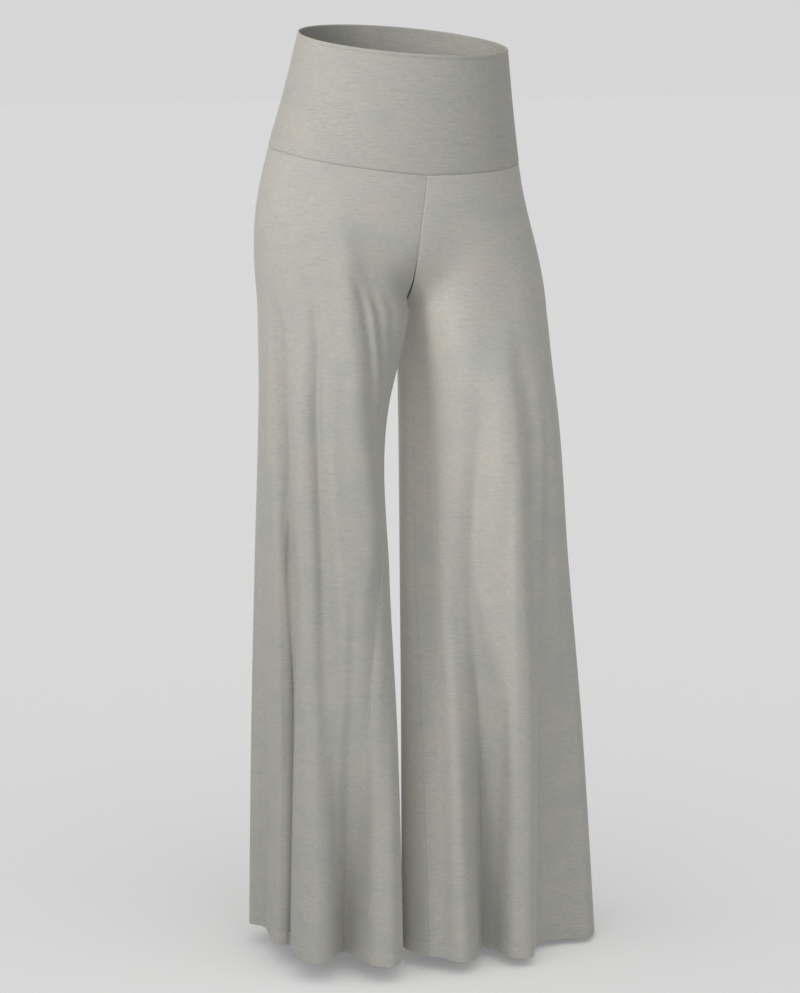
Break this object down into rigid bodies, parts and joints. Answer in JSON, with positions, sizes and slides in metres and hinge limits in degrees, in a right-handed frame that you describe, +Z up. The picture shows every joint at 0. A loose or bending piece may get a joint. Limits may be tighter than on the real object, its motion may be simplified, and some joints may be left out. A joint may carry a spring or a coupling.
{
  "type": "palazzo pants",
  "caption": "Wide-leg palazzo pants in plain jersey with a high folded waistband, filled out as if worn; legs fall in deep hem folds.",
  "frame": {"origin": "middle of the waist opening, where the wearer's waist holds the garment up", "axes": "+Z up out of the waist opening, front of the garment towards -Y, the wearer's left towards +X"},
  "size_m": [0.4305, 0.2677, 1.0986],
  "materials": {
    "waistband_jersey": "smooth matt heather grey viscose jersey, two layers, soft sheen",
    "leg_jersey": "matt heather grey viscose jersey, one layer, soft sheen"
  },
  "bodies": {
    "root": {"waistband": "waistband_jersey", "leg_front_right": "leg_jersey", "leg_front_left": "leg_jersey", "leg_back_right": "leg_jersey", "leg_back_left": "leg_jersey"}
  },
  "joints": []
}
